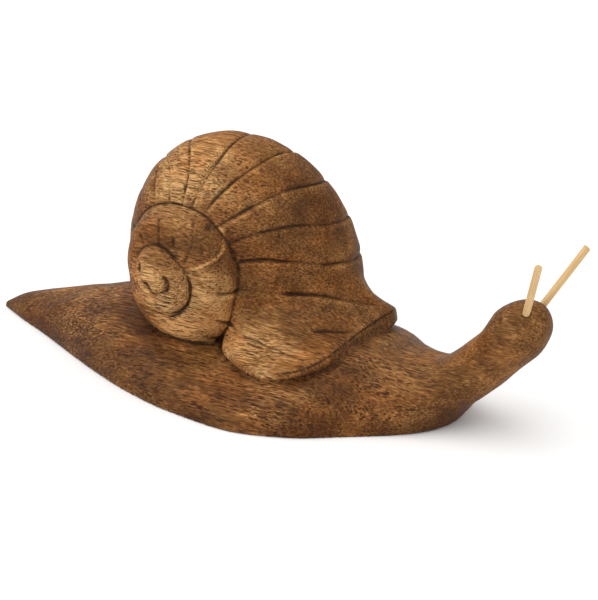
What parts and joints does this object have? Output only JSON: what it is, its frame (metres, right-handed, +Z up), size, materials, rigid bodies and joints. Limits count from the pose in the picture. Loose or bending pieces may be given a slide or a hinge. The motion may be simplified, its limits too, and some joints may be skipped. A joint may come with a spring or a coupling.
{
  "type": "snail figurine",
  "caption": "Carved wooden snail ornament with a coiled, grooved shell, a broad flat foot and thin stick tentacles; it stands on its sole.",
  "frame": {"origin": "in the plane of the sole, below the shell, midway between the sole's two sides", "axes": "+X towards the head, +Y to the snail's left, +Z up"},
  "size_m": [0.1529, 0.0652, 0.0573],
  "materials": {
    "carved_wood": "satin, oiled",
    "pale_stick": "bare rattan"
  },
  "bodies": {
    "root": {"carved_snail": "carved_wood", "tentacle_left": "pale_stick", "tentacle_right": "pale_stick"}
  },
  "joints": []
}
